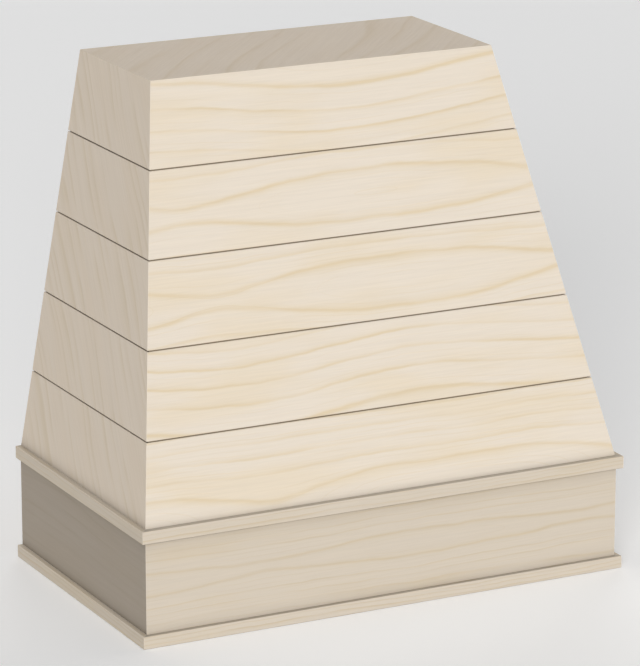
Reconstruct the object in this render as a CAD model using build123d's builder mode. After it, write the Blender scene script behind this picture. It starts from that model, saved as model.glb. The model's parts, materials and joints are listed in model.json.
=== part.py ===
from build123d import *

import os
from collections import namedtuple
from math import atan2, cos, radians, sin, tan

# A wooden range hood cover that hangs on a wall over a cooker. An upright apron carries a taper
# whose front and two sides lean in. The taper is clad in mitred shiplap boards on thin plywood
# backers, the back is open, and a shelf inside the apron takes a ventilation insert.
# Millimetres. X runs across the cover, the wall is at +Y, and Z is up from the bottom edge.

# Outer form, without the trim strips
cover_width = 914.4
cover_depth = 533.4
cover_height = 914.4
apron_height = 201.2
top_width = 658.0
top_depth = 293.8
course_count = 5

# Thickness and width of the stock
board_thickness = 12.7
backer_thickness = 6.35
top_thickness = 12.7
apron_thickness = 19.05
cleat_thickness = 19.05
cleat_width = 38.1
rail_thickness = 19.05
rail_width = 88.9
shelf_thickness = 12.7

# Shiplap joints between the boards
reveal = 2.0
lip_thickness = 6.35
lap_length = 9.5
lap_clearance = 0.5
face_ease = 0.5

# Trim strips round the waist and round the bottom edge
trim_height = 22.5
trim_thickness = 9.5
waist_trim_lap = 6.9
trim_ease = 0.8

# Shelf for the ventilation insert
shelf_clearance = 0.8
shelf_side_rim = 76.2
shelf_long_rim = 98.4
cutout_corner_radius = 12.7
insert_hole_radius = 1.6
insert_hole_edge = 19.05
insert_hole_inset = 31.75

# Holes in the rails for the screws into the wall studs
stud_count = 2
stud_spacing = 406.4
wall_hole_radius = 3.5
wall_row_spacing = 44.45

# Glued corner pieces
corner_strip_leg = 28.0
corner_block_size = 38.1
corner_block_setback = 3.0

# Screws and pins
Fastener = namedtuple("Fastener", "length shank_radius head_radius")
short_screw = Fastener(length=15.9, shank_radius=1.75, head_radius=3.5)
cleat_screw = Fastener(length=28.6, shank_radius=2.1, head_radius=4.2)
countersink_angle = 82.0
hole_clearance = 0.1
recess_width = 2.4
recess_depth = 1.5
pin_radius = 0.65
pin_length = 22.0
pin_set = 1.5

# Spacing of screws and pins along the pieces they hold
board_screw_margin = 60.0
cleat_screw_margin = 80.0
joint_screw_margin = 140.0
joint_screw_inset = 13.5
top_screw_margin = 50.0
rail_screw_margin = 15.0
pin_margin = 60.0

# How many of them stand in one row
front_row_screws = 3
side_row_screws = 2
apron_row_screws = 4
rail_end_screws = 2
front_trim_pins = 6
side_trim_pins = 4

# Places that follow from the sizes above
back_y = (cover_depth + trim_thickness) / 2
front_y = back_y - cover_depth
half_width = cover_width / 2
inner_x = half_width - apron_thickness
inner_front_y = front_y + apron_thickness
taper_rise = cover_height - apron_height
front_lean = atan2(cover_depth - top_depth, taper_rise)
side_lean = atan2((cover_width - top_width) / 2, taper_rise)
taper_thickness = board_thickness + backer_thickness
top_underside = cover_height - top_thickness
shelf_height = rail_width
shelf_cleat_middle = shelf_height - cleat_width / 2
waist_cleat_middle = apron_height - cleat_width / 2
taper_cleat_top = apron_height + cleat_thickness
top_cleat_bottom = top_underside - cleat_thickness
cutout_width = 2 * (inner_x - shelf_side_rim)
cutout_depth = back_y - inner_front_y - 2 * shelf_long_rim
cutout_middle_y = (back_y + inner_front_y) / 2
trim_bottoms = {"base": 0.0, "waist": apron_height + waist_trim_lap - trim_height}

# Leaning pieces are drawn this much too long at each end and then cut to length
overrun = cover_height

wall_line = Plane.XZ.offset(-back_y)

# One wall of the cover. Base is a point on its lower outer edge: in the middle of the front wall,
# and at the back of a side wall. Along runs across the front wall, and forward on a side wall.
Wall = namedtuple("Wall", "side lean base along up inward height mitres")


def outward_normal(side, lean):
    """The direction that a wall's outer face looks in."""
    if side == "front":
        return Vector(0, -cos(lean), sin(lean))
    sign = -1 if side == "left" else 1
    return Vector(sign * cos(lean), 0, sin(lean))


def corner_mitre(side, front_wall_lean, side_wall_lean):
    """The plane that halves the corner between the front and a side wall, with the front above it."""
    sign = -1 if side == "left" else 1
    corner = Vector(sign * half_width, front_y, apron_height)
    halving = outward_normal("front", front_wall_lean) - outward_normal(side, side_wall_lean)
    return Plane(origin=corner, z_dir=halving)


def make_wall(side, leaning):
    """The place and the directions of one wall, of the taper if leaning, or else of the apron."""
    leans = (front_lean, side_lean) if leaning else (0.0, 0.0)
    lean = leans[0] if side == "front" else leans[1]
    bottom = apron_height if leaning else 0.0
    inward = -outward_normal(side, lean)
    if side == "front":
        base = Vector(0, front_y, bottom)
        along = Vector(1, 0, 0)
        up = Vector(0, sin(lean), cos(lean))
    else:
        sign = -1 if side == "left" else 1
        base = Vector(sign * half_width, back_y, bottom)
        along = Vector(0, -1, 0)
        up = Vector(-sign * sin(lean), 0, cos(lean))
    corners = ("left", "right") if side == "front" else (side,)
    mitres = [corner_mitre(corner, *leans) for corner in corners]
    height = taper_rise / cos(lean) if leaning else apron_height
    return Wall(side, lean, base, along, up, inward, height, mitres)


sides = ("front", "left", "right")
taper_walls = {side: make_wall(side, leaning=True) for side in sides}
apron_walls = {side: make_wall(side, leaning=False) for side in sides}


def wall_point(wall, run, rise, depth):
    """A point by its distance along a wall, up its outer face and into the wood."""
    return wall.base + wall.along * run + wall.up * rise + wall.inward * depth


def section(wall):
    """Sketch plane across a wall: X runs up the outer face, and Y goes into the wood."""
    return Plane(origin=wall.base, x_dir=wall.up, z_dir=wall.up.cross(wall.inward))


def inner_face(wall):
    """The inner face of a leaning wall's backer, looking into the cover."""
    return Plane(origin=wall.base + wall.inward * taper_thickness, z_dir=wall.inward)


def top_mitre(wall):
    """The plane that halves the edge between a leaning wall and the top, with the wall above it."""
    edge = wall_point(wall, 0, wall.height, 0)
    return Plane(origin=edge, z_dir=-wall.inward - Vector(0, 0, 1))


def level(height):
    """A horizontal plane at this height."""
    return Plane.XY.offset(height)


def front_at(height, depth=0.0):
    """How far forward the taper's front wall stands at a height, this deep in the wood."""
    return front_y + tan(front_lean) * (height - apron_height) + depth / cos(front_lean)


def side_at(height, depth=0.0):
    """How far from the middle the taper's side walls stand at a height, this deep in the wood."""
    return half_width - tan(side_lean) * (height - apron_height) - depth / cos(side_lean)


def evenly(first, last, count):
    """Numbers spread evenly from first to last."""
    return [first + (last - first) * step / (count - 1) for step in range(count)]


def facing(point, direction):
    """A place with its Z axis along this direction, which is where a screw's head looks."""
    return Plane(origin=point, z_dir=direction).location


# Places of the screws and pins


def board_screw_places(wall, course):
    """Screws from inside the cover through a backer into one board."""
    rise = wall.height * (course - 0.5) / course_count
    height = apron_height + taper_rise * (course - 0.5) / course_count
    if wall.side == "front":
        reach = side_at(height, taper_thickness) - board_screw_margin
        runs = evenly(-reach, reach, front_row_screws)
    else:
        first = rail_thickness + cleat_width + board_screw_margin
        last = back_y - front_at(height, taper_thickness) - board_screw_margin
        runs = evenly(first, last, side_row_screws)
    return [facing(wall_point(wall, run, rise, taper_thickness), wall.inward) for run in runs]


def stile_screw_place(wall, course):
    """The screw that holds a back stile to one side board, through the backer."""
    run = rail_thickness + cleat_width / 2
    rise = wall.height * (course - 0.5) / course_count
    depth = taper_thickness + cleat_thickness
    return [facing(wall_point(wall, run, rise, depth), wall.inward)]


def stile_courses():
    """Every other course, where the back stiles are screwed to the boards."""
    return range(1, course_count + 1, 2)


def rail_screw_places(low, high):
    """Screws from behind through both ends of a taper rail into the back stiles."""
    heights = evenly(low + rail_screw_margin, high - rail_screw_margin, rail_end_screws)
    stile_middle = taper_thickness + cleat_thickness / 2
    return [
        facing(Vector(sign * side_at(height, stile_middle), back_y, height), Vector(0, 1, 0))
        for height in heights
        for sign in (-1, 1)
    ]


def cleat_end_screw_places(height):
    """Screws from behind into the ends of the side cleats in the apron."""
    x = inner_x - cleat_thickness / 2
    return [facing(Vector(sign * x, back_y, height), Vector(0, 1, 0)) for sign in (-1, 1)]


def apron_cleat_screw_places(side, height):
    """Screws through a cleat inside the apron into the apron wall behind it."""
    if side == "front":
        y = inner_front_y + cleat_thickness
        reach = inner_x - cleat_screw_margin
        xs = evenly(-reach, reach, apron_row_screws)
        return [facing(Vector(x, y, height), Vector(0, 1, 0)) for x in xs]
    sign = -1 if side == "left" else 1
    x = sign * (inner_x - cleat_thickness)
    first = inner_front_y + cleat_thickness + cleat_screw_margin
    last = back_y - rail_thickness - cleat_screw_margin
    ys = evenly(first, last, side_row_screws)
    return [facing(Vector(x, y, height), Vector(-sign, 0, 0)) for y in ys]


def downward_screw_places(side, height, inset):
    """Screws straight down beside one wall of the apron, this far in from its inner face."""
    if side in ("front", "back"):
        y = inner_front_y + inset if side == "front" else back_y - inset
        reach = inner_x - joint_screw_margin
        xs = evenly(-reach, reach, front_row_screws)
        return [facing(Vector(x, y, height), Vector(0, 0, 1)) for x in xs]
    x = (inner_x - inset) * (-1 if side == "left" else 1)
    first = inner_front_y + joint_screw_margin
    ys = evenly(first, back_y - joint_screw_margin, side_row_screws)
    return [facing(Vector(x, y, height), Vector(0, 0, 1)) for y in ys]


def shelf_screw_places(side):
    """Screws down through the shelf into the cleat or the rail that carries it."""
    inset = (rail_thickness if side == "back" else cleat_thickness) / 2
    return downward_screw_places(side, shelf_height + shelf_thickness, inset)


def joint_screw_places(side):
    """Screws down through a taper cleat into the waist cleat, which join taper and apron."""
    return downward_screw_places(side, taper_cleat_top, joint_screw_inset)


def top_screw_places(side):
    """Screws up through a top cleat into the top panel."""
    x_middle = side_at(top_underside, taper_thickness) - cleat_width / 2
    front_inner = front_at(top_underside, taper_thickness)
    if side == "front":
        y = front_inner + cleat_width / 2
        reach = x_middle - top_screw_margin
        xs = evenly(-reach, reach, front_row_screws)
        points = [Vector(x, y, top_cleat_bottom) for x in xs]
    else:
        x = x_middle * (-1 if side == "left" else 1)
        first = front_inner + cleat_width + top_screw_margin
        last = back_y - rail_thickness - top_screw_margin
        ys = evenly(first, last, side_row_screws)
        points = [Vector(x, y, top_cleat_bottom) for y in ys]
    return [facing(point, Vector(0, 0, -1)) for point in points]


def trim_pin_places(side, trim_bottom):
    """Pins through a trim strip into the apron, each with its head set below the face."""
    wall = apron_walls[side]
    if side == "front":
        runs = evenly(pin_margin - half_width, half_width - pin_margin, front_trim_pins)
    else:
        runs = evenly(pin_margin, cover_depth - pin_margin, side_trim_pins)
    rise = trim_bottom + trim_height / 2
    depth = pin_set - trim_thickness
    return [facing(wall_point(wall, run, rise, depth), -wall.inward) for run in runs]


# Steps shared by the pieces, each used on the piece being made


def cut_to_corners(wall):
    """Mitres a piece at the front corners, and stops a side piece at the wall line."""
    if wall.side == "front":
        for mitre in wall.mitres:
            split(bisect_by=mitre, keep=Keep.TOP)
    else:
        split(bisect_by=wall.mitres[0], keep=Keep.BOTTOM)
        split(bisect_by=wall_line, keep=Keep.TOP)


def drive(fastener, places):
    """Cuts the countersunk holes of these screws."""
    with Locations(*places):
        CounterSinkHole(
            fastener.shank_radius + hole_clearance,
            fastener.head_radius + hole_clearance,
            fastener.length + hole_clearance,
            countersink_angle,
        )


def pin_holes(places):
    """Cuts the blind holes that the pins lie in."""
    with Locations(*places):
        Hole(pin_radius + hole_clearance, pin_length + hole_clearance)


def beside_wall(side, width):
    """The two X values, lower first, between which a piece this wide lies beside a side wall."""
    return (-inner_x, width - inner_x) if side == "left" else (inner_x - width, inner_x)


def block(low, high):
    """Adds a square-edged length of stock between two opposite corners."""
    size = Vector(*high) - Vector(*low)
    with Locations(low):
        Box(size.X, size.Y, size.Z, align=(Align.MIN, Align.MIN, Align.MIN))


def wall_holes(height, rows):
    """Cuts the holes for screws into the wall studs through a rail, about this height."""
    inside = wall_line.offset(rail_thickness)
    with Locations(inside.location * Location((0, height, 0))):
        with GridLocations(stud_spacing, wall_row_spacing, stud_count, rows):
            Hole(wall_hole_radius, rail_thickness)


# Outer pieces


def make_board(wall, course):
    """One shiplap board: its lip laps over the tongue of the board below and leaves the reveal."""
    pitch = wall.height / course_count
    lowest = course == 1
    topmost = course == course_count
    lip_start = -overrun if lowest else (course - 1) * pitch + reveal / 2
    lip_end = wall.height + overrun if topmost else course * pitch - reveal / 2
    tongue_start = -overrun if lowest else (course - 1) * pitch + lap_length
    tongue_end = wall.height + overrun if topmost else course * pitch + lap_length - lap_clearance
    with BuildPart() as board:
        with BuildSketch(section(wall)) as profile:
            with Locations((lip_start, 0)):
                Rectangle(lip_end - lip_start, lip_thickness, align=(Align.MIN, Align.MIN))
            with Locations((tongue_start, lip_thickness)):
                tongue_thickness = board_thickness - lip_thickness
                length = tongue_end - tongue_start
                Rectangle(length, tongue_thickness, align=(Align.MIN, Align.MIN))
            chamfer(profile.vertices().group_by(Axis.Y)[0], face_ease)
        extrude(amount=cover_width, both=True)
        if lowest:
            split(bisect_by=level(apron_height), keep=Keep.TOP)
        if topmost:
            split(bisect_by=top_mitre(wall), keep=Keep.TOP)
        cut_to_corners(wall)
        drive(short_screw, board_screw_places(wall, course))
        if wall.side != "front" and course in stile_courses():
            drive(cleat_screw, stile_screw_place(wall, course))
    return board


def make_backer(wall):
    """The thin plywood sheet that the boards of one wall are screwed to."""
    with BuildPart() as backer:
        with BuildSketch(section(wall)):
            with Locations((-overrun, board_thickness)):
                length = wall.height + 2 * overrun
                Rectangle(length, backer_thickness, align=(Align.MIN, Align.MIN))
        extrude(amount=cover_width, both=True)
        split(bisect_by=level(apron_height), keep=Keep.TOP)
        split(bisect_by=level(top_underside), keep=Keep.BOTTOM)
        cut_to_corners(wall)
        for course in range(1, course_count + 1):
            drive(short_screw, board_screw_places(wall, course))
        if wall.side != "front":
            for course in stile_courses():
                drive(cleat_screw, stile_screw_place(wall, course))
    return backer


def make_top_panel():
    """The closed top, mitred to the boards on three edges."""
    with BuildPart() as top_panel:
        with BuildSketch(level(cover_height)):
            with Locations((0, back_y)):
                Rectangle(top_width, top_depth, align=(Align.CENTER, Align.MAX))
        extrude(amount=-top_thickness)
        for wall in taper_walls.values():
            split(bisect_by=top_mitre(wall), keep=Keep.BOTTOM)
        for side in sides:
            drive(cleat_screw, top_screw_places(side))
    return top_panel


def make_apron_wall(wall):
    """One upright wall of the apron."""
    with BuildPart() as apron_wall:
        with BuildSketch(section(wall)):
            Rectangle(apron_height, apron_thickness, align=(Align.MIN, Align.MIN))
        extrude(amount=cover_width, both=True)
        cut_to_corners(wall)
        for height in (shelf_cleat_middle, waist_cleat_middle):
            drive(cleat_screw, apron_cleat_screw_places(wall.side, height))
        for trim_bottom in trim_bottoms.values():
            pin_holes(trim_pin_places(wall.side, trim_bottom))
    return apron_wall


def make_trim(wall, trim_bottom):
    """A flat strip on the apron. Where it stands above the apron its back follows the taper."""
    lean = taper_walls[wall.side].lean
    trim_top = trim_bottom + trim_height
    with BuildPart() as trim:
        with BuildSketch(section(wall)) as profile:
            with Locations((trim_bottom, 0)):
                Rectangle(trim_height, trim_thickness, align=(Align.MIN, Align.MAX))
            chamfer(profile.vertices().group_by(Axis.Y)[0], trim_ease)
            if trim_top > apron_height:
                with BuildLine():
                    gap = tan(lean) * (trim_top - apron_height)
                    Polyline((apron_height, 0), (trim_top, 0), (trim_top, gap), close=True)
                make_face()
        extrude(amount=cover_width + trim_thickness, both=True)
        cut_to_corners(wall)
        pin_holes(trim_pin_places(wall.side, trim_bottom))
    return trim


# Inner frame


def make_apron_cleat(side, height, back_stop):
    """A strip on edge inside the apron, with its top at this height."""
    bottom = height - cleat_width
    with BuildPart() as cleat:
        if side == "front":
            block(
                (-inner_x, inner_front_y, bottom),
                (inner_x, inner_front_y + cleat_thickness, height),
            )
        else:
            near, far = beside_wall(side, cleat_thickness)
            block(
                (near, inner_front_y + cleat_thickness, bottom),
                (far, back_y - back_stop, height),
            )
        drive(cleat_screw, apron_cleat_screw_places(side, height - cleat_width / 2))
        if height == shelf_height:
            drive(cleat_screw, shelf_screw_places(side))
        else:
            drive(cleat_screw, joint_screw_places(side))
        if side != "front":
            drive(cleat_screw, cleat_end_screw_places(height - cleat_width / 2))
    return cleat


def make_waist_cleat_back():
    """The strip that holds the apron's sides apart at the top of its open back."""
    with BuildPart() as cleat:
        block(
            (-inner_x, back_y - cleat_thickness, apron_height - cleat_width),
            (inner_x, back_y, apron_height),
        )
        drive(cleat_screw, cleat_end_screw_places(waist_cleat_middle))
    return cleat


def make_flat_cleat(side, bottom, seat_height):
    """A strip laid flat inside the taper, bevelled to its walls and widest at the seat height."""
    front_inner = front_at(seat_height, taper_thickness) + cleat_width
    side_inner = side_at(seat_height, taper_thickness) - cleat_width
    top = bottom + cleat_thickness
    with BuildPart() as cleat:
        if side == "front":
            block((-half_width, front_y, bottom), (half_width, front_inner, top))
            for wall in taper_walls.values():
                split(bisect_by=inner_face(wall), keep=Keep.TOP)
        else:
            near, far = (-half_width, -side_inner) if side == "left" else (side_inner, half_width)
            block((near, front_inner, bottom), (far, back_y - rail_thickness, top))
            split(bisect_by=inner_face(taper_walls[side]), keep=Keep.TOP)
        if seat_height == top_underside:
            drive(cleat_screw, top_screw_places(side))
        else:
            drive(cleat_screw, joint_screw_places(side))
    return cleat


def make_taper_rail(bottom):
    """A rail across the open back of the taper, bevelled to the side backers."""
    with BuildPart() as rail:
        block(
            (-half_width, back_y - rail_thickness, bottom),
            (half_width, back_y, bottom + rail_width),
        )
        for side in ("left", "right"):
            split(bisect_by=inner_face(taper_walls[side]), keep=Keep.TOP)
        low = max(bottom, taper_cleat_top)
        high = min(bottom + rail_width, top_cleat_bottom)
        drive(cleat_screw, rail_screw_places(low, high))
    return rail


def make_wall_rail_top():
    """The upper rail, with four holes for screws into the wall studs."""
    bottom = top_underside - rail_width
    with BuildPart() as rail:
        add(make_taper_rail(bottom).part)
        wall_holes(bottom + rail_width / 2, rows=2)
    return rail


def make_wall_rail_bottom():
    """The lower rail, which carries the back of the shelf and has two holes for wall screws."""
    with BuildPart() as rail:
        block((-inner_x, back_y - rail_thickness, 0), (inner_x, back_y, rail_width))
        wall_holes(rail_width / 2, rows=1)
        drive(cleat_screw, cleat_end_screw_places(shelf_cleat_middle))
        drive(cleat_screw, shelf_screw_places("back"))
    return rail


def make_back_stile(wall):
    """The leaning post in front of the rails that stiffens the back edge of a side wall."""
    with BuildPart() as stile:
        with BuildSketch(section(wall)):
            with Locations((-overrun, taper_thickness)):
                length = wall.height + 2 * overrun
                Rectangle(length, cleat_thickness, align=(Align.MIN, Align.MIN))
        extrude(amount=cover_width, both=True)
        split(bisect_by=level(taper_cleat_top), keep=Keep.TOP)
        split(bisect_by=level(top_cleat_bottom), keep=Keep.BOTTOM)
        split(bisect_by=wall_line.offset(rail_thickness), keep=Keep.TOP)
        split(bisect_by=wall_line.offset(rail_thickness + cleat_width), keep=Keep.BOTTOM)
        for course in stile_courses():
            drive(cleat_screw, stile_screw_place(wall, course))
        drive(cleat_screw, rail_screw_places(taper_cleat_top, apron_height + rail_width))
        drive(cleat_screw, rail_screw_places(top_underside - rail_width, top_cleat_bottom))
    return stile


def make_corner_strip(side):
    """The three-sided glue strip that runs up the inside of a front corner of the taper."""
    sign = -1 if side == "left" else 1
    foot = Vector(
        sign * side_at(taper_cleat_top, taper_thickness),
        front_at(taper_cleat_top, taper_thickness),
        taper_cleat_top,
    )
    head = Vector(
        sign * side_at(top_cleat_bottom, taper_thickness),
        front_at(top_cleat_bottom, taper_thickness),
        top_cleat_bottom,
    )
    climb = head - foot
    with BuildPart() as strip:
        with BuildSketch(level(taper_cleat_top)):
            with BuildLine():
                Polyline(
                    (foot.X, foot.Y),
                    (foot.X - sign * corner_strip_leg, foot.Y),
                    (foot.X, foot.Y + corner_strip_leg),
                    close=True,
                )
            make_face()
        extrude(amount=climb.length, dir=climb.normalized())
    return strip


def make_apron_block(side):
    """The square glue block in a front corner of the apron, under the shelf cleats."""
    near, far = beside_wall(side, corner_block_size)
    with BuildPart() as corner_block:
        block(
            (near, inner_front_y, corner_block_setback),
            (far, inner_front_y + corner_block_size, shelf_height - cleat_width),
        )
    return corner_block


def make_shelf():
    """The shelf with the cutout that the ventilation insert goes up through."""
    with BuildPart() as shelf:
        block(
            (shelf_clearance - inner_x, inner_front_y + shelf_clearance, shelf_height),
            (inner_x - shelf_clearance, back_y, shelf_height + shelf_thickness),
        )
        with BuildSketch(level(shelf_height)):
            with Locations((0, cutout_middle_y)):
                RectangleRounded(cutout_width, cutout_depth, cutout_corner_radius)
        extrude(amount=shelf_thickness, mode=Mode.SUBTRACT)
        with Locations((0, cutout_middle_y, shelf_height + shelf_thickness)):
            across = cutout_width + 2 * insert_hole_edge
            with GridLocations(across, cutout_depth - 2 * insert_hole_inset, 2, 2):
                Hole(insert_hole_radius, shelf_thickness)
        for side in sides + ("back",):
            drive(cleat_screw, shelf_screw_places(side))
    return shelf


# Fasteners


def make_screw(fastener):
    """One countersunk screw with a square drive, its head at the origin and looking up."""
    head_flare = fastener.head_radius - fastener.shank_radius
    head_height = head_flare / tan(radians(countersink_angle / 2))
    point_height = fastener.length - 2 * fastener.shank_radius
    with BuildPart() as screw:
        with BuildSketch(Plane.XZ):
            with BuildLine():
                Polyline(
                    (0, 0),
                    (fastener.head_radius, 0),
                    (fastener.shank_radius, -head_height),
                    (fastener.shank_radius, -point_height),
                    (0, -fastener.length),
                    close=True,
                )
            make_face()
        revolve(axis=Axis.Z)
        with BuildSketch(Plane.XY):
            Rectangle(recess_width, recess_width)
        extrude(amount=-recess_depth, mode=Mode.SUBTRACT)
    return screw


def make_group(one, places):
    """Copies of one fastener at all its places."""
    with BuildPart() as group:
        with Locations(*places):
            add(one.part)
    return group


def make_board_screws():
    """The short screws that hold the boards to the backers."""
    places = []
    for wall in taper_walls.values():
        for course in range(1, course_count + 1):
            places += board_screw_places(wall, course)
    return make_group(make_screw(short_screw), places)


def make_frame_screws():
    """The longer screws that hold the inner frame, the shelf and the top."""
    places = rail_screw_places(taper_cleat_top, apron_height + rail_width)
    places += rail_screw_places(top_underside - rail_width, top_cleat_bottom)
    for height in (shelf_cleat_middle, waist_cleat_middle):
        places += cleat_end_screw_places(height)
        for side in sides:
            places += apron_cleat_screw_places(side, height)
    for side in sides:
        places += shelf_screw_places(side) + joint_screw_places(side) + top_screw_places(side)
    places += shelf_screw_places("back")
    for side in ("left", "right"):
        for course in stile_courses():
            places += stile_screw_place(taper_walls[side], course)
    return make_group(make_screw(cleat_screw), places)


def all_trim_pin_places():
    """The places of the pins in every trim strip."""
    places = []
    for trim_bottom in trim_bottoms.values():
        for side in sides:
            places += trim_pin_places(side, trim_bottom)
    return places


def make_trim_pins():
    """The headless pins that hold the trim strips to the apron."""
    with BuildPart() as pin:
        with BuildSketch(Plane.XY):
            Circle(pin_radius)
        extrude(amount=-pin_length)
    return make_group(pin, all_trim_pin_places())


def make_pin_fillers():
    """The wood filler that closes each pin's hole, from its head to the face of the trim."""
    with BuildPart() as filler:
        with BuildSketch(Plane.XY):
            Circle(pin_radius + hole_clearance)
        extrude(amount=pin_set)
    return make_group(filler, all_trim_pin_places())


def make_cover():
    """Every piece of the cover under its name."""
    pieces = {"top_panel": make_top_panel(), "insert_shelf": make_shelf()}
    for side, wall in taper_walls.items():
        for course in range(1, course_count + 1):
            pieces[f"{side}_board_{course}"] = make_board(wall, course)
        pieces[f"{side}_backer"] = make_backer(wall)
        pieces[f"taper_cleat_{side}"] = make_flat_cleat(side, apron_height, apron_height)
        pieces[f"top_cleat_{side}"] = make_flat_cleat(side, top_cleat_bottom, top_underside)
    for side, wall in apron_walls.items():
        pieces[f"apron_{side}"] = make_apron_wall(wall)
        pieces[f"shelf_cleat_{side}"] = make_apron_cleat(side, shelf_height, rail_thickness)
        pieces[f"waist_cleat_{side}"] = make_apron_cleat(side, apron_height, cleat_thickness)
        for name, trim_bottom in trim_bottoms.items():
            pieces[f"{name}_trim_{side}"] = make_trim(wall, trim_bottom)
    for side in ("left", "right"):
        pieces[f"back_stile_{side}"] = make_back_stile(taper_walls[side])
        pieces[f"corner_strip_{side}"] = make_corner_strip(side)
        pieces[f"apron_block_{side}"] = make_apron_block(side)
    pieces["waist_cleat_back"] = make_waist_cleat_back()
    pieces["wall_rail_top"] = make_wall_rail_top()
    pieces["wall_rail_waist"] = make_taper_rail(apron_height)
    pieces["wall_rail_bottom"] = make_wall_rail_bottom()
    pieces["board_screws"] = make_board_screws()
    pieces["frame_screws"] = make_frame_screws()
    pieces["trim_pins"] = make_trim_pins()
    pieces["pin_fillers"] = make_pin_fillers()
    return pieces


def main():
    """Builds the cover and writes one STEP file for each piece."""
    os.makedirs("parts", exist_ok=True)
    for name, piece in make_cover().items():
        piece.part.label = name
        export_step(piece.part, f"parts/{name}.step")


main()
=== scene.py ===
import json
from collections import namedtuple
from math import atan2, cos, pi, radians, sin

import bpy
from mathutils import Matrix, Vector


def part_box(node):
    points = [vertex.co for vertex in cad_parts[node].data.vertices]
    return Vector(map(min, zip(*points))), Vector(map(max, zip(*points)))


# The looks of a wooden range hood cover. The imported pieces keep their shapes, and each gets the
# wood, plywood, filler or steel that it is made of. Metres, with X across the cover, the wall of
# the kitchen at +Y and Z up from the bottom edge.

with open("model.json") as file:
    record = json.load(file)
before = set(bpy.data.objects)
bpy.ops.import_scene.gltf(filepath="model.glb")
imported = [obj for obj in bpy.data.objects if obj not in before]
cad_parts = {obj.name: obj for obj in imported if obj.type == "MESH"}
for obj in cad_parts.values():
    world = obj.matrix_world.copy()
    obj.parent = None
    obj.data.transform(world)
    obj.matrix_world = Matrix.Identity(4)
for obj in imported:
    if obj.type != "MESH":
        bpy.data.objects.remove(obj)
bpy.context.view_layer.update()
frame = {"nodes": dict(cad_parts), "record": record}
nodes = frame["nodes"]
slots = {part["node"]: part["material_slot"] for part in frame["record"]["subparts"]}

# Places that the finishes need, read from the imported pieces
apron_low, apron_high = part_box("apron_front")
top_low, top_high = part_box("top_panel")
waist_trim_low, waist_trim_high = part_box("waist_trim_front")
base_trim_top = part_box("base_trim_front")[1].z
half_width = apron_high.x
front_y = apron_low.y
back_y = top_high.y
apron_height = apron_high.z
cover_height = top_high.z
taper_rise = cover_height - apron_height
front_lean = atan2(top_low.y - front_y, taper_rise)
side_lean = atan2(half_width - top_high.x, taper_rise)
middle = Vector((0, (front_y + back_y) / 2, cover_height / 2))

# The boards and the plywood
course_count = 5
board_thickness = 0.0127
board_lip = 0.00635
groove_width = 0.002
backer_thickness = 0.00635
backer_plies = 5
shelf_plies = 9

# The sides, and which way each lies along X
signs = {"left": -1, "right": 1}

# Directions of the grain
across_cover = Vector((1, 0, 0))
to_front = Vector((0, -1, 0))
upright = Vector((0, 0, 1))
up_front_wall = Vector((0, sin(front_lean), cos(front_lean)))
up_side_wall = {
    side: Vector((-sign * sin(side_lean), 0, cos(side_lean))) for side, sign in signs.items()}

# How far the grain of the side boards falls towards the front, and that of the top turns from
# across the cover to the back
side_slant = radians(50)
top_slant = radians(50)

# Where a piece's grain starts and runs: a point on its outer face, the way along the grain, and
# the way across it on the face. The wood lies behind the face.
Grain = namedtuple("Grain", "start along across")

# Growth rings round a heart line that runs under the face. Heart is its height on the face from
# the grain's start, and sway how much higher it is at the waist, where the lines draw together.
# Belly is the distance from there to where they swell. Near and far are how deep the heart line
# lies at the belly and at the waist, and the rings are drawn from the first one out. Line is how
# wide the dark line at the edge of a ring is. Outer and faintest are how strongly the plainest and
# the faintest of the lines past the first show, and fine is the same for the hair lines between.
# Uneven is how much the gaps between the rings past the first differ.
Figure = namedtuple(
    "Figure", "heart sway waist belly near far first_ring ring_gap line outer faintest fine uneven",
    defaults=[0.0])

# Colours of one wood, and how strongly its fibres show
Tones = namedtuple("Tones", "pale warm line fibre_strength")

# The painted shade towards a joint: how much of its light the wood keeps right at the joint, and
# how far from it the shade is down to about a third
Shade = namedtuple("Shade", "darkest reach")


def colour(red, green, blue):
    """A colour from its display values, each from 0 to 255."""
    def linear(value):
        share = value / 255
        return share / 12.92 if share <= 0.04045 else ((share + 0.055) / 1.055) ** 2.4
    return (linear(red), linear(green), linear(blue), 1)


board_tones = Tones(
    pale=colour(235.6, 223.8, 207.6), warm=colour(235, 220.8, 199),
    line=colour(228, 209.6, 178), fibre_strength=0.028)
side_tones = Tones(
    pale=colour(233.4, 219.7, 202.3), warm=colour(233, 218.2, 199.3),
    line=colour(225.5, 210, 187), fibre_strength=0.023)
# The top is painted a little darker than the boards: painted shade on the top
top_tones = Tones(
    pale=colour(224.8, 211, 193.8), warm=colour(224, 209.5, 191),
    line=colour(216, 198.5, 174), fibre_strength=0.024)
apron_tones = Tones(
    pale=colour(226, 213.5, 196), warm=colour(225.5, 211, 189),
    line=colour(220, 203, 175), fibre_strength=0.026)
# The apron sides are painted darker than the other wood: painted shade on them
apron_side_shaded_tones = Tones(
    pale=colour(181.2, 169.5, 154.7), warm=colour(180.7, 168.5, 152.7),
    line=colour(177.7, 165, 148), fibre_strength=0.014)
trim_tones = Tones(
    pale=colour(226.5, 214, 196.5), warm=colour(226, 212, 190.5),
    line=colour(218, 200, 171), fibre_strength=0.030)
timber_tones = Tones(
    pale=colour(226, 205, 170), warm=colour(222, 196, 154),
    line=colour(186, 142, 92), fibre_strength=0.10)

# The colour of the painted highlight along each mitred corner
edge_highlight = colour(240, 231, 216)
peeled_pale = colour(224, 203, 168)
peeled_warm = colour(216, 190, 150)
peeled_line = colour(190, 154, 110)
cross_ply = colour(186, 150, 108)
glue_line = colour(120, 86, 58)


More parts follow.
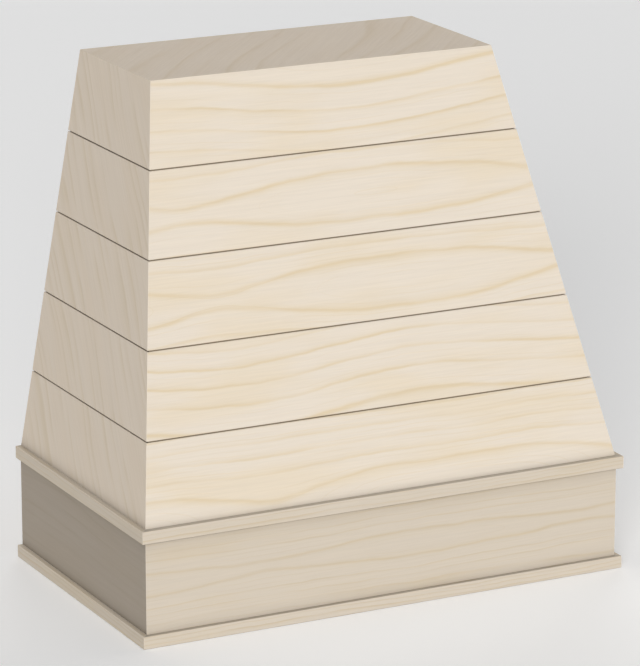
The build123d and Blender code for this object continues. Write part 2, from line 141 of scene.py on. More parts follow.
class Recipe:
    """A material, or the world, under construction, with short names for its usual nodes."""

    def __init__(self, name, owners=bpy.data.materials):
        self.material = owners.new(name)
        self.material.use_nodes = True
        self.tree = self.material.node_tree
        self.shader = self.tree.nodes.get("Principled BSDF")

    def node(self, kind, **settings):
        """Adds a node and sets it up."""
        node = self.tree.nodes.new(kind)
        for name, value in settings.items():
            setattr(node, name, value)
        return node

    def feed(self, socket, value):
        """Joins another node's output to a socket, or sets the socket's own value."""
        if isinstance(value, bpy.types.NodeSocket):
            self.tree.links.new(value, socket)
        else:
            socket.default_value = value

    def place(self):
        """The point on the piece, in the frame."""
        return self.node("ShaderNodeTexCoord").outputs["Object"]

    def calc(self, operation, *values):
        """Arithmetic on one to three numbers."""
        node = self.node("ShaderNodeMath", operation=operation)
        for socket, value in zip(node.inputs, values):
            self.feed(socket, value)
        return node.outputs[0]

    def reach(self, place, start, direction):
        """How far a point lies from a start along a direction."""
        offset = self.node("ShaderNodeVectorMath", operation="SUBTRACT")
        self.feed(offset.inputs[0], place)
        offset.inputs[1].default_value = start
        along = self.node("ShaderNodeVectorMath", operation="DOT_PRODUCT")
        self.feed(along.inputs[0], offset.outputs[0])
        along.inputs[1].default_value = direction
        return along.outputs["Value"]

    def triple(self, x, y, z):
        """Three numbers as one point."""
        node = self.node("ShaderNodeCombineXYZ")
        for socket, value in zip(node.inputs, (x, y, z)):
            self.feed(socket, value)
        return node.outputs[0]

    def noise(self, place, sizes, shift, detail=2.0):
        """Soft noise from 0 to 1 whose spots have these sizes in metres along each direction."""
        spread = self.node("ShaderNodeMapping")
        self.feed(spread.inputs["Vector"], place)
        spread.inputs["Scale"].default_value = [1 / size for size in sizes]
        spread.inputs["Location"].default_value = (shift, shift * 1.7, shift * 2.3)
        node = self.node("ShaderNodeTexNoise")
        self.feed(node.inputs["Vector"], spread.outputs[0])
        node.inputs["Scale"].default_value = 1
        node.inputs["Detail"].default_value = detail
        return node.outputs["Fac"]

    def ease(self, value, low, high, at_low=0.0, at_high=1.0):
        """Goes smoothly from one number to another while a value goes from low to high."""
        node = self.node("ShaderNodeMapRange", interpolation_type="SMOOTHSTEP")
        self.feed(node.inputs["Value"], value)
        node.inputs["From Min"].default_value = low
        node.inputs["From Max"].default_value = high
        node.inputs["To Min"].default_value = at_low
        node.inputs["To Max"].default_value = at_high
        return node.outputs["Result"]

    def ramp(self, value, stops):
        """A number that follows these (place, number) stops."""
        node = self.node("ShaderNodeValToRGB")
        self.feed(node.inputs[0], value)
        steps = node.color_ramp.elements
        for step, (place, number) in zip(steps, (stops[0], stops[-1])):
            step.position = place
            step.color = (number, number, number, 1)
        for place, number in stops[1:-1]:
            steps.new(place).color = (number, number, number, 1)
        return node.outputs["Color"]

    def mix(self, share, first, second, kind="MIX"):
        """One colour over another."""
        node = self.node("ShaderNodeMix", data_type="RGBA", blend_type=kind)
        self.feed(node.inputs["Factor"], share)
        self.feed(node.inputs[6], first)
        self.feed(node.inputs[7], second)
        return node.outputs[2]

    def shade(self, tone, amount):
        """A colour made darker or lighter by a factor."""
        grey = self.triple(amount, amount, amount)
        return self.mix(1.0, tone, grey, "MULTIPLY")

    def bump(self, height, distance, strength):
        """Gives the surface relief of this height."""
        node = self.node("ShaderNodeBump")
        self.feed(node.inputs["Height"], height)
        node.inputs["Distance"].default_value = distance
        node.inputs["Strength"].default_value = strength
        self.feed(self.shader.inputs["Normal"], node.outputs[0])

    def finish(self, tone, roughness, specular=0.25):
        """Puts the colour and the gloss on the shader."""
        self.feed(self.shader.inputs["Base Color"], tone)
        self.feed(self.shader.inputs["Roughness"], roughness)
        self.shader.inputs["Specular IOR Level"].default_value = specular
        return self.material


# Wood

# Sizes of the patterns in planed wood: along the grain, across it and into the wood
drift_size = (0.30, 0.20, 0.3)
kink_size = (0.09, 0.07, 0.1)
patch_size = (0.30, 0.07, 0.1)
streak_size = (0.16, 0.0040, 0.004)
fibre_size = (0.035, 0.0009, 0.0009)

# What each pattern adds to its piece's seed, so that no two of them agree
kink_seed = 4
hair_seed = 6
patch_seed = 12
streak_seed = 16
fibre_seed = 20

# How far the rings drift along the grain, and how high their small kinks are
drift_length = 0.03
kink_height = 0.010

# Where the dark line lies between one ring and the next, as a share of the gap
line_place = 0.55

# How the line falls off, from four of its widths inside the ring's edge to two outside it
widths_inside = 4.0
widths_outside = 2.0
line_fall = [
    (0.0, 0.06), (0.17, 0.14), (0.33, 0.29), (0.42, 0.42), (0.5, 0.58), (0.585, 0.88), (0.667, 1.0),
    (0.75, 0.56), (0.83, 0.18), (0.92, 0.03), (1.0, 0.0),
]

# How faint the first ring's line gets, and how much thinner the lines past it are
first_faintest = 0.65
outer_thinness = 1.7

# The flattest that a ring counts as where it meets the face
least_slope = 0.12

# How many hair lines lie in a ring, and how wide each is as a share of the ring's own line
hair_lines = 3.0
hair_width = 0.4

# How many times a line changes its strength in a metre, and how far apart in the noise two lines
# next to each other are read, so that each changes on its own
changes_per_metre = 5.0
line_spacing = 3.7

# How many times the gaps between the rings change in a metre, and over how many rings
gap_changes_per_metre = 1.2
gap_change_rings = 1.7

# How much the fibres count next to the streaks, in the relief and in the fine colour
fibre_share = 0.6


def board_space(recipe, grain):
    """How far a point lies along the grain, across it and into the wood."""
    place = recipe.place()
    inward = grain.across.cross(grain.along)
    directions = (grain.along, grain.across, inward)
    return [recipe.reach(place, grain.start, direction) for direction in directions]


def own_strength(recipe, along, number, seed):
    """How strongly one line of many shows here, from 0 to 1."""
    stretches = recipe.calc("MULTIPLY", along, changes_per_metre)
    row = recipe.calc("MULTIPLY", number, line_spacing)
    place = recipe.triple(stretches, row, seed)
    return recipe.ease(recipe.noise(place, (1.0, 1.0, 1.0), seed), low=0.38, high=0.62)


def heart_distance(recipe, space, figure, seed):
    """How far a point lies from the heart line, and how high above it on the face."""
    along, across, depth = space
    place = recipe.triple(along, across, depth)
    drift = recipe.noise(place, drift_size, seed, detail=1.0)
    wander = recipe.calc("MULTIPLY_ADD", drift, drift_length, along)
    turn = recipe.calc("SUBTRACT", wander, figure.waist + drift_length / 2)
    turn = recipe.calc("MULTIPLY", turn, pi / figure.belly)
    wave = recipe.calc("COSINE", turn)
    kinks = recipe.noise(place, kink_size, seed + kink_seed, detail=3.0)
    height = recipe.calc("SUBTRACT", across, figure.heart + kink_height / 2)
    height = recipe.calc("MULTIPLY_ADD", wave, -figure.sway, height)
    height = recipe.calc("MULTIPLY_ADD", kinks, kink_height, height)
    half_dive = (figure.far - figure.near) / 2
    sink = recipe.calc("MULTIPLY_ADD", wave, half_dive, (figure.far + figure.near) / 2)
    sink = recipe.calc("SUBTRACT", sink, depth)
    radius = recipe.node("ShaderNodeVectorMath", operation="LENGTH")
    recipe.feed(radius.inputs[0], recipe.triple(height, sink, 0.0))
    return radius.outputs["Value"], height


def ring_count(recipe, radius, along, figure, seed):
    """How many rings out a point lies. The whole part is its ring, with the line at line_place."""
    ring = recipe.calc("SUBTRACT", radius, figure.first_ring)
    ring = recipe.calc("DIVIDE", ring, figure.ring_gap)
    ring = recipe.calc("ADD", ring, line_place)
    if figure.uneven:
        stretches = recipe.calc("MULTIPLY", along, gap_changes_per_metre)
        place = recipe.triple(ring, stretches, seed)
        good_years = recipe.noise(place, (gap_change_rings, 1.0, 1.0), seed, detail=0.0)
        past_first = recipe.ease(ring, low=1.0, high=2.5, at_high=figure.uneven)
        ring = recipe.calc("MULTIPLY_ADD", good_years, past_first, ring)
    return ring


def add_hair_lines(recipe, main, ring, slope, along, figure, seed):
    """Adds the hair lines between the rings to how strongly the rings' own lines show."""
    fine_ring = recipe.calc("MULTIPLY", ring, hair_lines)
    off = recipe.calc("SUBTRACT", recipe.calc("FRACT", fine_ring), 0.5)
    off = recipe.calc("MULTIPLY", recipe.calc("ABSOLUTE", off), figure.ring_gap / hair_lines)
    off = recipe.calc("DIVIDE", off, slope)
    hair = recipe.ease(off, 0.0, figure.line * hair_width, at_low=figure.fine, at_high=0.0)
    own = own_strength(recipe, along, recipe.calc("FLOOR", fine_ring), seed + hair_seed)
    return recipe.calc("MULTIPLY_ADD", hair, own, main)


def ring_lines(recipe, space, figure, seed):
    """How strongly a growth-ring line shows at a point, from 0 to 1."""
    along = space[0]
    radius, height = heart_distance(recipe, space, figure, seed)
    ring = ring_count(recipe, radius, along, figure, seed)
    number = recipe.calc("FLOOR", ring)
    share = recipe.calc("SUBTRACT", recipe.calc("FRACT", ring), line_place)
    # A line stays as thin where the ring only grazes the face
    slope = recipe.calc("DIVIDE", recipe.calc("ABSOLUTE", height), radius)
    slope = recipe.calc("MAXIMUM", slope, least_slope)
    widths = recipe.calc("MULTIPLY", share, figure.ring_gap / figure.line)
    widths = recipe.calc("DIVIDE", widths, slope)
    # The first ring fades inwards, and the rings past it are thinner and fade outwards
    first = recipe.calc("COMPARE", number, 0.0, 0.5)
    turned = recipe.calc("MULTIPLY_ADD", first, 1 + outer_thinness, -outer_thinness)
    widths = recipe.calc("MULTIPLY", widths, turned)
    fall_place = recipe.calc("ADD", widths, widths_inside)
    fall_place = recipe.calc("DIVIDE", fall_place, widths_inside + widths_outside)
    line = recipe.ramp(fall_place, line_fall)
    own = own_strength(recipe, along, number, seed)
    own_first = recipe.calc("MULTIPLY_ADD", own, 1 - first_faintest, first_faintest)
    own_first = recipe.calc("MULTIPLY", own_first, first)
    own_outer = recipe.calc("MULTIPLY_ADD", own, figure.outer - figure.faintest, figure.faintest)
    outside = recipe.calc("GREATER_THAN", number, -0.5)
    strength = recipe.calc("MULTIPLY", recipe.calc("MAXIMUM", own_outer, own_first), outside)
    main = recipe.calc("MULTIPLY", line, strength)
    return add_hair_lines(recipe, main, ring, slope, along, figure, seed)


def wood_colour(recipe, space, figure, tones, seed):
    """The colour of planed wood, and the height of its fibres for the relief."""
    place = recipe.triple(*space)
    patches = recipe.noise(place, patch_size, seed + patch_seed)
    patches = recipe.ease(patches, low=0.42, high=0.68)
    tone = recipe.mix(patches, tones.pale, tones.warm)
    tone = recipe.mix(ring_lines(recipe, space, figure, seed), tone, tones.line)
    streaks = recipe.noise(place, streak_size, seed + streak_seed, detail=3.0)
    fibres = recipe.noise(place, fibre_size, seed + fibre_seed)
    both = recipe.calc("MULTIPLY_ADD", fibres, fibre_share, streaks)
    strength = tones.fibre_strength
    light = recipe.ease(both, low=0.45, high=1.15, at_low=1 + strength, at_high=1 - strength)
    return recipe.shade(tone, light), both


def paint_corner_highlights(recipe, tone, corners):
    """Paints a highlight on the last half millimetre before each mitred corner."""
    for start, across in corners:
        distance = recipe.calc("ABSOLUTE", recipe.reach(recipe.place(), start, across))
        highlight_share = recipe.ease(distance, low=0.0002, high=0.0009, at_low=0.35, at_high=0.0)
        tone = recipe.mix(highlight_share, tone, edge_highlight)
    return tone


def painted_shade_at_joint(recipe, tone, start, away, shade, share=1.0):
    """Paints shade on the wood towards the joint at a start, less the further away the point is."""
    distance = recipe.calc("MAXIMUM", recipe.reach(recipe.place(), start, away), 0.0)
    fall = recipe.calc("EXPONENT", recipe.calc("MULTIPLY", distance, -1 / shade.reach))
    fall = recipe.calc("MULTIPLY", fall, share)
    return recipe.shade(tone, recipe.calc("MULTIPLY_ADD", fall, shade.darkest - 1, 1.0))


def on_face(recipe, depth):
    """Keeps the painted shade to the outer face: 1 there and 0 from two millimetres into the wood.
    """
    return recipe.ease(depth, low=0.0008, high=0.0020, at_low=1.0, at_high=0.0)


def wood_finish(recipe, tone, fibres):
    """Sanded bare wood: matt, with fine fibres in relief."""
    recipe.bump(fibres, distance=0.0002, strength=0.35)
    return recipe.finish(tone, recipe.ease(fibres, low=0.4, high=1.2, at_low=0.52, at_high=0.68))


# Corners where two walls meet: a point and the direction that crosses the mitre


def taper_corner(side):
    """The mitre between the leaning front and a leaning side."""
    sign = signs[side]
    front_out = Vector((0, -cos(front_lean), sin(front_lean)))
    side_out = Vector((sign * cos(side_lean), 0, sin(side_lean)))
    corner = Vector((sign * half_width, front_y, apron_height))
    return corner, (front_out - side_out).normalized()


def apron_corner(side):
    """The mitre between the upright front and an upright side."""
    sign = signs[side]
    corner = Vector((sign * half_width, front_y, 0))
    return corner, Vector((-sign, -1, 0)).normalized()


taper_corners = [taper_corner(side) for side in signs]
apron_corners = [apron_corner(side) for side in signs]


# Boards

# Figures of the five front boards, from the lowest up
front_figures = [
    Figure(
        heart=-0.0777, sway=0.0078, waist=-0.2179, belly=0.3576, near=0.0133, far=0.0607,
        first_ring=0.0627, ring_gap=0.0233, line=0.0040, outer=0.75, faintest=0.35, fine=0.35),
    Figure(
        heart=-0.0840, sway=-0.0124, waist=-0.2385, belly=0.3437, near=0.0357, far=0.0376,
        first_ring=0.0409, ring_gap=0.0299, line=0.0037, outer=1.15, faintest=0.45, fine=0.25),
    Figure(
        heart=-0.0097, sway=0.0013, waist=-0.2632, belly=0.3495, near=0.0137, far=0.0446,
        first_ring=0.0466, ring_gap=0.0262, line=0.0040, outer=0.60, faintest=0.30, fine=0.35),
    Figure(
        heart=-0.0071, sway=-0.0018, waist=-0.2894, belly=0.3523, near=0.0109, far=0.0436,
        first_ring=0.0456, ring_gap=0.0320, line=0.0040, outer=0.65, faintest=0.30, fine=0.25),
    Figure(
        heart=0.0840, sway=0.0150, waist=-0.3665, belly=0.4043, near=0.0408, far=0.0446,
        first_ring=0.0541, ring_gap=0.0323, line=0.0037, outer=1.15, faintest=0.45, fine=0.25),
]

# A leaning wall of boards: a point on its lowest edge, the way up it and how long it is that way
Wall = namedtuple("Wall", "corner up length")
front_wall = Wall(
    Vector((0, front_y, apron_height)), up_front_wall, taper_rise / cos(front_lean))
side_walls = {
    side: Wall(
        Vector((sign * half_width, middle.y, apron_height)), up_side_wall[side],
        taper_rise / cos(side_lean))
    for side, sign in signs.items()
}

# How much of each colour the tongue in a groove keeps, as painted shade in the groove, and how
# dark the painted shade on the rounded edges of the boards below and above it is
Groove = namedtuple("Groove", "tongue below above")
rounding = 0.0008
front_groove = Groove((0.59, 0.53, 0.45, 1), Shade(0.70, rounding), Shade(0.98, rounding))
side_groove = Groove((0.345, 0.295, 0.265, 1), Shade(0.86, rounding), Shade(0.82, rounding))

# Over what distance the painted shade on the tongue sets in at a board's edge and at its back end
tint_start = 0.0002
clear_of_back = 0.0008

# The painted shade on the lowest boards above the waist trim
front_waist_shade = Shade(0.62, 0.0062)
side_waist_shade = Shade(0.44, 0.0078)

# What the two sides' boards add to their seeds, so that the sides don't match
side_seeds = {"left": 40, "right": 70}


def course_middle(wall, course):
    """The point halfway up one course of boards."""
    return wall.corner + wall.up * wall.length * (course - 0.5) / course_count


def groove_shades(recipe, tone, depth, wall, course, groove):
    """The painted shade in the grooves over and under a board. The board's back edge stays clear of
    it.
    """
    pitch = wall.length / course_count
    inside = 0.0
    if course < course_count:
        edge = wall.corner + wall.up * (pitch * course - groove_width / 2)
        tone = painted_shade_at_joint(recipe, tone, edge, -wall.up, groove.below)
        over = recipe.reach(recipe.place(), edge, wall.up)
        inside = recipe.calc("MAXIMUM", inside, recipe.ease(over, -tint_start, 0.0))
    if course > 1:
        edge = wall.corner + wall.up * (pitch * (course - 1) + groove_width / 2)
        tone = painted_shade_at_joint(recipe, tone, edge, wall.up, groove.above)
        under = recipe.reach(recipe.place(), edge, -wall.up)
        inside = recipe.calc("MAXIMUM", inside, recipe.ease(under, -tint_start, 0.0))
    behind_face = recipe.ease(depth, low=0.0010, high=board_lip * 0.8)
    inside = recipe.calc("MULTIPLY", inside, behind_face)
    from_back = recipe.reach(recipe.place(), Vector((0, back_y, 0)), to_front)
    inside = recipe.calc("MULTIPLY", inside, recipe.ease(from_back, 0.0, clear_of_back))
    return recipe.mix(inside, tone, recipe.mix(1.0, tone, groove.tongue, "MULTIPLY"))


def shade_over_waist(recipe, tone, depth, shade):
    """The painted shade on the lowest boards above the waist trim."""
    start = Vector((0, 0, waist_trim_high.z))
    return painted_shade_at_joint(recipe, tone, start, upright, shade, on_face(recipe, depth))


def front_board_finish(course):
    """The wood of one front board."""
    grain = Grain(course_middle(front_wall, course), across_cover, up_front_wall)
    recipe = Recipe(f"front_board_wood_{course}")
    space = board_space(recipe, grain)
    figure = front_figures[course - 1]
    tone, fibres = wood_colour(recipe, space, figure, board_tones, seed=course * 3.1)
    tone = paint_corner_highlights(recipe, tone, taper_corners)
    tone = groove_shades(recipe, tone, space[2], front_wall, course, front_groove)
    tone = shade_over_waist(recipe, tone, space[2], front_waist_shade)
    return wood_finish(recipe, tone, fibres)


def side_board_finish(side, course):
    """The wood of one side board, whose grain slants down towards the front."""
    wall = side_walls[side]
    forward = to_front * -signs[side]
    turn = side_slant * -signs[side]
    along = forward * cos(turn) - wall.up * sin(turn)
    across = forward * sin(turn) + wall.up * cos(turn)
    figure = Figure(
        heart=0.32 + 0.05 * course, sway=0.004, waist=0.1 * course - 0.3, belly=0.21, near=0.05,
        far=0.08, first_ring=0.02, ring_gap=0.025, line=0.0052, outer=1.0, faintest=0.05,
        fine=0.08, uneven=2.2)
    recipe = Recipe(f"{side}_board_wood_{course}")
    space = board_space(recipe, Grain(course_middle(wall, course), along, across))
    seed = course * 2.3 + side_seeds[side]
    tone, fibres = wood_colour(recipe, space, figure, side_tones, seed)
    tone = paint_corner_highlights(recipe, tone, [taper_corner(side)])
    tone = groove_shades(recipe, tone, space[2], wall, course, side_groove)
    tone = shade_over_waist(recipe, tone, space[2], side_waist_shade)
    return wood_finish(recipe, tone, fibres)


def top_finish():
    """The wood of the top panel, whose grain runs slantwise to the back."""
    along = Vector((cos(top_slant), sin(top_slant), 0))
    across = Vector((-sin(top_slant), cos(top_slant), 0))
    start = Vector((0, (top_low.y + back_y) / 2, cover_height))
    figure = Figure(
        heart=0.42, sway=0.004, waist=-0.12, belly=0.23, near=0.05, far=0.08, first_ring=0.02,
        ring_gap=0.062, line=0.0085, outer=0.66, faintest=0.05, fine=0.18, uneven=2.2)
    recipe = Recipe("top_panel_wood")
    space = board_space(recipe, Grain(start, along, across))
    tone, fibres = wood_colour(recipe, space, figure, top_tones, seed=91.0)
    return wood_finish(recipe, tone, fibres)


# Apron and trim strips

# The painted shades above the base trim and under the waist trim
apron_front_shades = (Shade(0.65, 0.008), Shade(0.70, 0.0075))
apron_side_shades = (Shade(0.42, 0.0080), Shade(0.66, 0.0065))

# The painted shade on each strip's ledge at the wall behind it
ledge_shades = {
    ("waist", "front"): Shade(0.53, 0.040), ("waist", "side"): Shade(0.63, 0.016),
    ("base", "front"): Shade(0.49, 0.040), ("base", "side"): Shade(0.77, 0.010),
}


def apron_shades(recipe, tone, depth, shades):
    """The painted shade above the base trim and under the waist trim."""
    above_base, under_waist = shades
    share = on_face(recipe, depth)
    low = Vector((0, 0, base_trim_top))
    high = Vector((0, 0, waist_trim_low.z))
    tone = painted_shade_at_joint(recipe, tone, low, upright, above_base, share)
    return painted_shade_at_joint(recipe, tone, high, -upright, under_waist, share)


def apron_front_finish():
    """The wood of the apron's front."""
    grain = Grain(Vector((0, front_y, apron_height / 2)), across_cover, upright)
    figure = Figure(
        heart=0.008, sway=0.0, waist=-0.238, belly=0.312, near=0.012, far=0.0240,
        first_ring=0.026, ring_gap=0.021, line=0.0026, outer=0.80, faintest=0.20, fine=0.45,
        uneven=1.2)
    recipe = Recipe("apron_front_wood")
    space = board_space(recipe, grain)
    tone, fibres = wood_colour(recipe, space, figure, apron_tones, seed=17.0)
    tone = paint_corner_highlights(recipe, tone, apron_corners)
    tone = apron_shades(recipe, tone, space[2], apron_front_shades)
    return wood_finish(recipe, tone, fibres)


def apron_side_finish(side):
    """The plainer wood of an apron side, painted darker than the rest as painted shade."""
    sign = signs[side]
    start = Vector((sign * half_width, middle.y, apron_height / 2))
    figure = Figure(
        heart=0.10, sway=0.002, waist=-0.1, belly=0.35, near=0.03, far=0.05, first_ring=0.02,
        ring_gap=0.019, line=0.0030, outer=1.0, faintest=0.2, fine=0.2, uneven=1.5)
    recipe = Recipe(f"apron_{side}_wood")
    space = board_space(recipe, Grain(start, to_front * -sign, upright))
    tone, fibres = wood_colour(recipe, space, figure, apron_side_shaded_tones, seed=23.0 + sign)
    tone = paint_corner_highlights(recipe, tone, [apron_corner(side)])
    tone = apron_shades(recipe, tone, space[2], apron_side_shades)
    return wood_finish(recipe, tone, fibres)


def wall_behind_trim(band, side):
    """A point on the face that a trim strip lies on, and the way out of that face."""
    lean = 0.0 if band == "base" else front_lean if side == "front" else side_lean
    if side == "front":
        return Vector((0, front_y, apron_height)), Vector((0, -cos(lean), sin(lean)))
    sign = signs[side]
    return Vector((sign * half_width, 0, apron_height)), Vector((sign * cos(lean), 0, sin(lean)))


def number_among_pieces(name):
    """A piece's place in the list of all pieces by name, which makes its wood its own."""
    return sorted(nodes).index(name)


def trim_finish(name):
    """The wood of one trim strip, with painted shade on its ledge towards the wall behind it."""
    low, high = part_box(name)
    band, _, side = name.split("_")
    if side == "front":
        grain = Grain(Vector((0, low.y, low.z)), across_cover, upright)
        corners = apron_corners
        shade = ledge_shades[band, "front"]
    else:
        sign = signs[side]
        start = Vector((high.x if sign > 0 else low.x, 0, low.z))
        grain = Grain(start, to_front * -sign, upright)
        corners = [apron_corner(side)]
        shade = ledge_shades[band, "side"]
    figure = Figure(
        heart=0.030, sway=0.002, waist=-0.2, belly=0.45, near=0.006, far=0.012, first_ring=0.004,
        ring_gap=0.0085, line=0.0014, outer=1.0, faintest=0.35, fine=0.0, uneven=1.0)
    recipe = Recipe(f"{name}_wood")
    seed = 31.0 + 1.9 * number_among_pieces(name)
    tone, fibres = wood_colour(recipe, board_space(recipe, grain), figure, trim_tones, seed)
    tone = paint_corner_highlights(recipe, tone, corners)
    height = recipe.reach(recipe.place(), Vector((0, 0, high.z)), upright)
    ledge = recipe.ease(height, low=-0.0008, high=-0.0001)
    wall, out = wall_behind_trim(band, side)
    tone = painted_shade_at_joint(recipe, tone, wall, out, shade, ledge)
    return wood_finish(recipe, tone, fibres)


# Frame timber and plywood

# How dark the peeled figure of plywood is from one of its lines to the next, and how many lines
# its noise makes
peeled_fall = [(0.0, 0.1), (0.35, 0.0), (0.75, 0.45), (0.9, 1.0), (1.0, 0.1)]
peeled_lines = 16.0

# Sizes of the patterns in plywood: along the grain, across it and through the sheet
peeled_size = (0.9, 0.16, 1.0)
ply_patch_size = (0.5, 0.2, 1.0)
ply_fibre_size = (0.03, 0.0012, 0.0004)

# How much of their own colour the peeled lines and every other ply show
peeled_strength = 0.55
cross_ply_strength = 0.55

# What the patches and the fibres of plywood add to its seed
ply_patch_seed = 5
ply_fibre_seed = 9

# Counts each sheet as this much thicker on both faces, so that a face lies inside its own ply
ply_skin = 0.0001

# Over what share of the outermost plies no glue line is drawn, so that none shows on the faces
bare_skin = 0.2


def longest_ways(name):
    """The direction of a piece's longest side, and of the next longest."""
    low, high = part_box(name)
    size = high - low
    order = sorted(range(3), key=lambda axis: -size[axis])
    return [Vector([1.0 if axis == way else 0.0 for axis in range(3)]) for way in order[:2]]


def timber_finish(name):
    """A planed strip of softwood with close growth rings, which also show on its ends."""
    low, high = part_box(name)
    along, across = longest_ways(name)
    if name.startswith("back_stile"):
        along = up_side_wall[name.rsplit("_", 1)[1]]
        across = to_front
    seed = 50.0 + 2.7 * number_among_pieces(name)
    spread = (seed * 0.37) % 1.0
    figure = Figure(
        heart=0.02 + 0.04 * spread, sway=0.003, waist=0.3 * spread - 0.2, belly=0.40, near=0.03,
        far=0.05, first_ring=0.006, ring_gap=0.0055, line=0.0020, outer=1.0, faintest=0.35,
        fine=0.0, uneven=1.4)
    recipe = Recipe(f"{name}_timber")
    grain = Grain((low + high) / 2, along, across)
    tone, fibres = wood_colour(recipe, board_space(recipe, grain), figure, timber_tones, seed)
    return wood_finish(recipe, tone, fibres)


def plywood_finish(name, grain, thickness, ply_count):
    """Plywood: a broad peeled figure on the faces, and plies with glue lines on the edges."""
    recipe = Recipe(f"{name}_plywood")
    along, across, depth = board_space(recipe, grain)
    place = recipe.triple(along, across, 0.0)
    seed = 3.7 * number_among_pieces(name)
    swirl = recipe.noise(place, peeled_size, seed)
    share = recipe.calc("FRACT", recipe.calc("MULTIPLY", swirl, peeled_lines))
    line = recipe.ramp(share, peeled_fall)
    patches = recipe.noise(place, ply_patch_size, seed + ply_patch_seed)
    tone = recipe.mix(recipe.ease(patches, low=0.3, high=0.7), peeled_pale, peeled_warm)
    tone = recipe.mix(recipe.calc("MULTIPLY", line, peeled_strength), tone, peeled_line)
    ply_thickness = (thickness + 2 * ply_skin) / ply_count
    layer = recipe.calc("DIVIDE", recipe.calc("ADD", depth, ply_skin), ply_thickness)
    odd = recipe.calc("MODULO", recipe.calc("FLOOR", layer), 2.0)
    tone = recipe.mix(recipe.calc("MULTIPLY", odd, cross_ply_strength), tone, cross_ply)
    edge = recipe.calc("PINGPONG", layer, 0.5)
    from_face = recipe.calc("PINGPONG", layer, ply_count / 2)
    inner = recipe.calc("GREATER_THAN", from_face, bare_skin)
    glue = recipe.ease(edge, low=0.0, high=0.09, at_low=0.7, at_high=0.0)
    tone = recipe.mix(recipe.calc("MULTIPLY", glue, inner), tone, glue_line)
    fibre_place = recipe.triple(along, across, depth)
    fibres = recipe.noise(fibre_place, ply_fibre_size, seed + ply_fibre_seed, detail=3.0)
    light = recipe.ease(fibres, low=0.3, high=0.7, at_low=1.06, at_high=0.92)
    return wood_finish(recipe, recipe.shade(tone, light), fibres)


def backer_finish(side):
    """The plywood behind one wall of boards."""
    if side == "front":
        wall, along = front_wall, across_cover
    else:
        wall, along = side_walls[side], to_front * -signs[side]
    inward = wall.up.cross(along)
    grain = Grain(wall.corner + inward * board_thickness, along, wall.up)
    return plywood_finish(f"{side}_backer", grain, backer_thickness, backer_plies)


def shelf_finish():
    """The plywood of the shelf."""
    low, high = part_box("insert_shelf")
    grain = Grain(Vector((0, middle.y, high.z)), across_cover, -to_front)
    return plywood_finish("insert_shelf", grain, high.z - low.z, shelf_plies)


# Filler and steel


def filler_finish():
    """Sanded wood filler over the pins, a shade warmer than the strips."""
    recipe = Recipe("pin_filler")
    grit = recipe.noise(recipe.place(), (0.0006, 0.0006, 0.0006), shift=5.0)
    share = recipe.ease(grit, low=0.35, high=0.65)
    tone = recipe.mix(share, colour(228, 212, 186), colour(219, 200, 170))
    recipe.bump(grit, distance=0.0001, strength=0.3)
    return recipe.finish(tone, 0.75)


def steel_finish(name, tint, dull_tint, roughness):
    """Metal with a faint drawn streak and uneven plating."""
    recipe = Recipe(name)
    recipe.shader.inputs["Metallic"].default_value = 1.0
    cloud = recipe.noise(recipe.place(), (0.003, 0.003, 0.003), shift=2.0, detail=3.0)
    tone = recipe.mix(recipe.ease(cloud, low=0.35, high=0.65), tint, dull_tint)
    scratches = recipe.noise(recipe.place(), (0.0004, 0.0004, 0.004), shift=7.0)
    recipe.bump(scratches, distance=0.00005, strength=0.3)
    dullness = recipe.ease(cloud, low=0.3, high=0.7, at_low=roughness, at_high=roughness + 0.15)
    return recipe.finish(tone, dullness, specular=0.5)


# Giving each piece its finish


def dress(name, material):
    """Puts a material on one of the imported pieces."""
    piece = nodes[name]
    piece.data.materials.clear()
    piece.data.materials.append(material)


def dress_cover():
    """Gives every piece its finish."""
    for course in range(1, course_count + 1):
        dress(f"front_board_{course}", front_board_finish(course))
        for side in signs:
            dress(f"{side}_board_{course}", side_board_finish(side, course))
    dress("top_panel", top_finish())
    dress("apron_front", apron_front_finish())
    for side in signs:
        dress(f"apron_{side}", apron_side_finish(side))
    for name, slot in slots.items():
        if slot == "trim_wood":
            dress(name, trim_finish(name))
        elif slot == "frame_timber":
            dress(name, timber_finish(name))
    for side in ("front", "left", "right"):
        dress(f"{side}_backer", backer_finish(side))
    dress("insert_shelf", shelf_finish())
    dress("pin_fillers", filler_finish())
    zinc = steel_finish(
        "zinc_plated_steel", colour(214, 208, 190), colour(196, 186, 158), roughness=0.28)
    dress("board_screws", zinc)
    dress("frame_screws", zinc)
    pin_steel = steel_finish(
        "bright_pin_steel", colour(200, 200, 200), colour(180, 180, 182), roughness=0.3)
    dress("trim_pins", pin_steel)


# Studio


def seen_directly(recipe):
    """Is 1 for what the camera sees, also in metal or through glass, and 0 for light on wood."""
    path = recipe.node("ShaderNodeLightPath")
    seen = recipe.calc("MAXIMUM", path.outputs["Is Camera Ray"], path.outputs["Is Glossy Ray"])
    return recipe.calc("MAXIMUM", seen, path.outputs["Is Transmission Ray"])


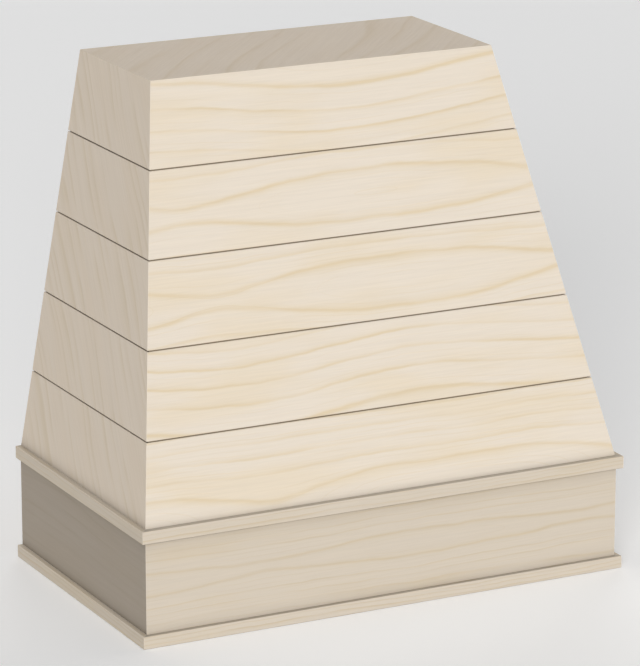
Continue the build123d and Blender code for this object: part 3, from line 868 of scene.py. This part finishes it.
def make_floor():
    """A plain pale floor. The camera sees it paler than the bounce that it gives the wood."""
    floor_size = 60
    clearance = 0.0002
    bpy.ops.object.select_all(action="DESELECT")
    bpy.ops.mesh.primitive_plane_add(size=floor_size, location=(0, 0, -clearance))
    floor = bpy.context.object
    floor.name = "studio_floor"
    recipe = Recipe("floor_paint")
    paint = recipe.node("ShaderNodeBsdfDiffuse")
    paint.inputs["Color"].default_value = colour(105, 105, 105)
    pale = recipe.node("ShaderNodeBsdfDiffuse")
    pale.inputs["Color"].default_value = colour(236, 236, 236)
    glow = recipe.node("ShaderNodeEmission")
    glow.inputs["Color"].default_value = colour(255, 255, 255)
    glow.inputs["Strength"].default_value = 0.2
    bright = recipe.node("ShaderNodeAddShader")
    recipe.feed(bright.inputs[0], pale.outputs[0])
    recipe.feed(bright.inputs[1], glow.outputs[0])
    choice = recipe.node("ShaderNodeMixShader")
    recipe.feed(choice.inputs[0], seen_directly(recipe))
    recipe.feed(choice.inputs[1], paint.outputs[0])
    recipe.feed(choice.inputs[2], bright.outputs[0])
    output = recipe.tree.nodes["Material Output"]
    recipe.feed(output.inputs["Surface"], choice.outputs[0])
    floor.data.materials.append(recipe.material)


def make_sun(name, direction, strength, softness, glare=True):
    """A soft lamp far away, shining from this direction, with or without a gleam on the wood."""
    lamp = bpy.data.lights.new(name, "SUN")
    lamp.energy = strength
    lamp.angle = radians(softness)
    lamp_object = bpy.data.objects.new(name, lamp)
    bpy.context.scene.collection.objects.link(lamp_object)
    lamp_object.rotation_euler = Vector(direction).to_track_quat("Z", "Y").to_euler()
    lamp_object.visible_glossy = glare


def light_studio():
    """Soft lamps left of the front, overhead and low behind and at the right, and dim walls."""
    make_sun("side_lamp", (-0.473, -0.72, 0.215), strength=3.0, softness=28)
    make_sun("roof_lamp", (0.0, -0.05, 1.0), strength=0.78, softness=60)
    make_sun("back_lamp", (0.50, 0.85, 0.10), strength=2.2, softness=30, glare=False)
    make_sun("right_lamp", (0.95, 0.06, 0.12), strength=0.8, softness=30, glare=False)
    # The walls are seen as pale as the floor and give the wood little light
    light_on_wood = 0.05
    seen_brighter = 0.72
    recipe = Recipe("studio_walls", bpy.data.worlds)
    strength = recipe.calc("MULTIPLY_ADD", seen_directly(recipe), seen_brighter, light_on_wood)
    walls = recipe.tree.nodes["Background"]
    walls.inputs["Color"].default_value = colour(250, 250, 250)
    recipe.feed(walls.inputs["Strength"], strength)
    bpy.context.scene.world = recipe.material


def place_camera():
    """The photograph's view: from the left of the front and a little above."""
    camera = bpy.data.cameras.new("studio_camera")
    camera.lens = 217.9
    camera.sensor_width = 36
    camera_object = bpy.data.objects.new("studio_camera", camera)
    bpy.context.scene.collection.objects.link(camera_object)
    camera_object.location = (-3.095, -6.0806, 2.347)
    heading = radians(27)
    dip = radians(15.73)
    view = Vector((sin(heading) * cos(dip), cos(heading) * cos(dip), -sin(dip)))
    camera_object.rotation_euler = view.to_track_quat("-Z", "Y").to_euler()
    bpy.context.scene.camera = camera_object


dress_cover()
make_floor()
light_studio()
place_camera()
bpy.context.scene.view_settings.view_transform = "Standard"
